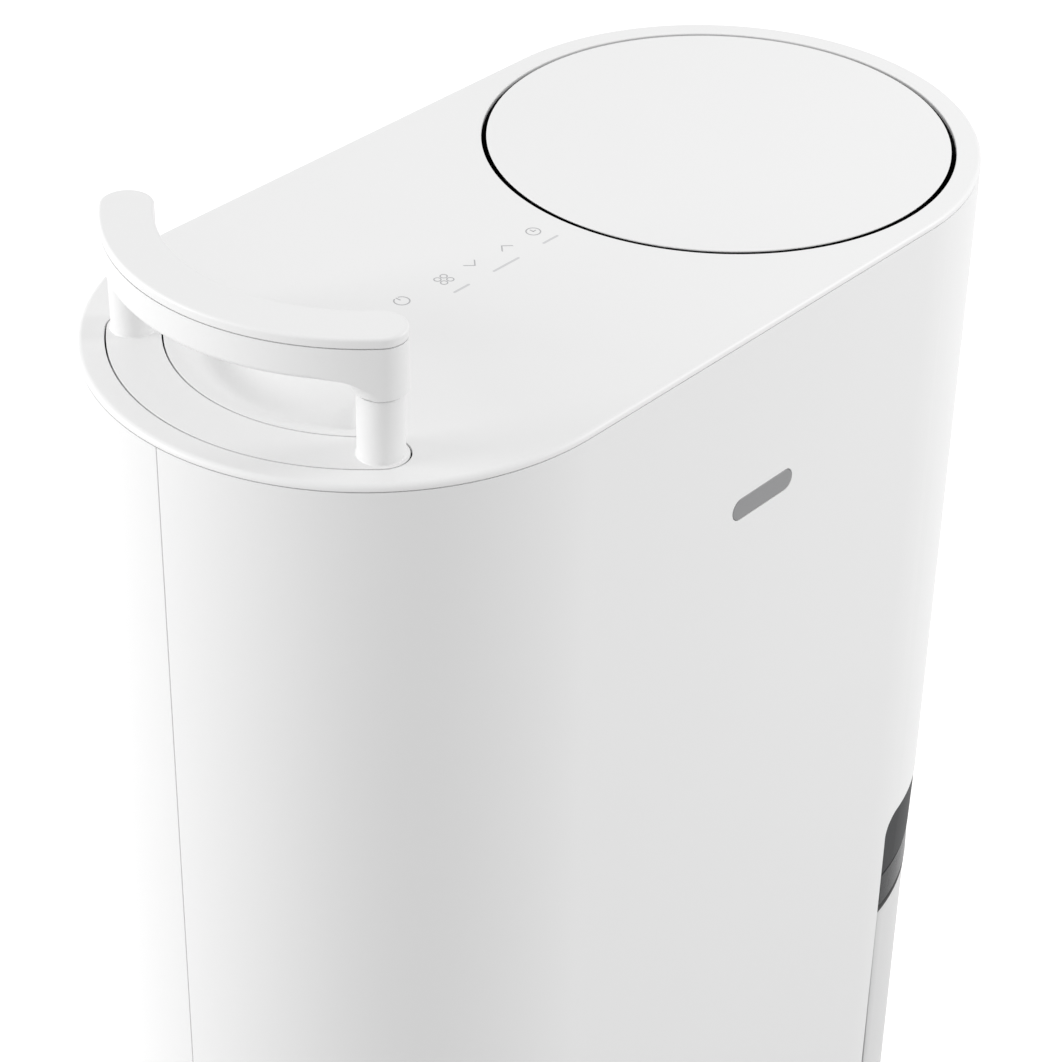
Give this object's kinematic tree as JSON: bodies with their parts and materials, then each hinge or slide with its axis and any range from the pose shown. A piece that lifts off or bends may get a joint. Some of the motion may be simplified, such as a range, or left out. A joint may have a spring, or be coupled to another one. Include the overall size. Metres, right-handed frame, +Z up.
{
  "type": "dehumidifier",
  "caption": "Slim upright household dehumidifier with an oblong round-ended cabinet, a rising carry handle, a tilting round outlet lid and a slide-out water tank.",
  "frame": {"origin": "on the floor, under the middle of the oblong cabinet", "axes": "+X along the long side towards the water tank end, +Y towards the rear intake grille, +Z up"},
  "size_m": [0.49, 0.25, 0.75],
  "materials": {
    "cabinet_white": "satin moulded white, fine even texture",
    "inner_plastic": "plain moulded light grey",
    "dark_plastic": "matt moulded dark grey",
    "smoked_plastic": "clear smoked grey, polished",
    "badge_grey": "plain satin grey",
    "black_rubber": "matt black",
    "caster_rubber": "matt dark grey",
    "filter_net": "fine woven net",
    "bright_steel": "zinc plated",
    "stator_iron": "plain",
    "fin_aluminium": "thin mill-finish fins",
    "copper_pipe": "drawn copper, slightly dull",
    "black_enamel": "black enamel",
    "circuit_board": "green solder mask"
  },
  "bodies": {
    "cabinet": {"front_shell": "cabinet_white", "rear_shell": "cabinet_white", "top_panel": "cabinet_white", "base_pan": "cabinet_white", "tank_bay": "inner_plastic", "recess_panel": "dark_plastic", "handle_well": "dark_plastic", "outlet_tray": "dark_plastic", "outlet_grid": "dark_plastic", "lid_hinge_bracket": "bright_steel", "lid_motor": "bright_steel", "scroll_front": "dark_plastic", "scroll_rear": "dark_plastic", "fan_motor": "bright_steel", "evaporator": "fin_aluminium", "condenser": "fin_aluminium", "coil_pipes": "copper_pipe", "drain_pan": "inner_plastic", "drain_spigot": "inner_plastic", "compressor": "black_enamel", "compressor_motor": "stator_iron", "accumulator": "black_enamel", "compressor_feet": "black_rubber", "control_board": "circuit_board", "touch_board": "circuit_board", "level_switch": "dark_plastic", "power_inlet": "dark_plastic", "body_screws": "bright_steel", "badge": "badge_grey"},
    "handle": {"handle_grip": "cabinet_white", "handle_cap": "cabinet_white", "handle_posts": "cabinet_white", "handle_plate": "cabinet_white"},
    "lid": {"lid_top": "cabinet_white", "lid_base": "dark_plastic", "lid_pin": "bright_steel"},
    "pinion": {"lid_pinion": "inner_plastic"},
    "fan": {"fan_wheel": "dark_plastic", "fan_shaft": "bright_steel"},
    "tank": {"tank_bucket": "smoked_plastic", "tank_fascia": "cabinet_white", "tank_gasket": "black_rubber", "tank_lid": "dark_plastic"},
    "float": {"tank_float": "inner_plastic"},
    "intake": {"intake_grille": "cabinet_white"},
    "filter": {"filter_frame": "dark_plastic", "filter_mesh": "filter_net"},
    "plug": {"drain_plug": "black_rubber"},
    "caster_1": {"caster_fork_1": "dark_plastic"},
    "wheel_1": {"caster_wheel_1": "caster_rubber"},
    "caster_2": {"caster_fork_2": "dark_plastic"},
    "wheel_2": {"caster_wheel_2": "caster_rubber"},
    "caster_3": {"caster_fork_3": "dark_plastic"},
    "wheel_3": {"caster_wheel_3": "caster_rubber"},
    "caster_4": {"caster_fork_4": "dark_plastic"},
    "wheel_4": {"caster_wheel_4": "caster_rubber"}
  },
  "joints": [
    {"name": "handle_slide", "type": "slide", "parent": "cabinet", "child": "handle", "axis": [0, 0, 1], "range_m": [-0.06, 0]},
    {"name": "lid_tilt", "type": "hinge", "parent": "cabinet", "child": "lid", "pos_m": [0.12, 0.1136, 0.685], "axis": [-1, 0, 0], "range_deg": [0, 45]},
    {"name": "pinion_spin", "type": "hinge", "parent": "cabinet", "child": "pinion", "pos_m": [0.108, 0.08147, 0.66645], "axis": [-1, 0, 0], "range_deg": [-200, 200]},
    {"name": "fan_spin", "type": "hinge", "parent": "cabinet", "child": "fan", "pos_m": [0.02, -0.03, 0.48], "axis": [0, 1, 0], "continuous": true},
    {"name": "tank_slide", "type": "slide", "parent": "cabinet", "child": "tank", "axis": [1, 0, 0], "range_m": [0, 0.24]},
    {"name": "float_swing", "type": "hinge", "parent": "tank", "child": "float", "pos_m": [0.046, 0.053, 0.248], "axis": [0, 1, 0], "range_deg": [-25, 0]},
    {"name": "intake_pull", "type": "slide", "parent": "cabinet", "child": "intake", "axis": [0, 1, 0], "range_m": [0, 0.06]},
    {"name": "filter_pull", "type": "slide", "parent": "intake", "child": "filter", "axis": [0, -1, 0], "range_m": [0, 0.012]},
    {"name": "plug_pull", "type": "slide", "parent": "cabinet", "child": "plug", "axis": [0, 1, 0], "range_m": [0, 0.03]},
    {"name": "caster_swivel_1", "type": "hinge", "parent": "cabinet", "child": "caster_1", "pos_m": [0.172, -0.072, 0.026], "axis": [0, 0, 1], "continuous": true},
    {"name": "wheel_spin_1", "type": "hinge", "parent": "caster_1", "child": "wheel_1", "pos_m": [0.164, -0.072, 0.011], "axis": [0, 1, 0], "continuous": true},
    {"name": "caster_swivel_2", "type": "hinge", "parent": "cabinet", "child": "caster_2", "pos_m": [0.172, 0.072, 0.026], "axis": [0, 0, 1], "continuous": true},
    {"name": "wheel_spin_2", "type": "hinge", "parent": "caster_2", "child": "wheel_2", "pos_m": [0.164, 0.072, 0.011], "axis": [0, 1, 0], "continuous": true},
    {"name": "caster_swivel_3", "type": "hinge", "parent": "cabinet", "child": "caster_3", "pos_m": [-0.172, -0.072, 0.026], "axis": [0, 0, 1], "continuous": true},
    {"name": "wheel_spin_3", "type": "hinge", "parent": "caster_3", "child": "wheel_3", "pos_m": [-0.18, -0.072, 0.011], "axis": [0, 1, 0], "continuous": true},
    {"name": "caster_swivel_4", "type": "hinge", "parent": "cabinet", "child": "caster_4", "pos_m": [-0.172, 0.072, 0.026], "axis": [0, 0, 1], "continuous": true},
    {"name": "wheel_spin_4", "type": "hinge", "parent": "caster_4", "child": "wheel_4", "pos_m": [-0.18, 0.072, 0.011], "axis": [0, 1, 0], "continuous": true}
  ],
  "couplings": [
    {"joint": "pinion_spin", "follows": "lid_tilt", "ratio": -4.2857}
  ]
}
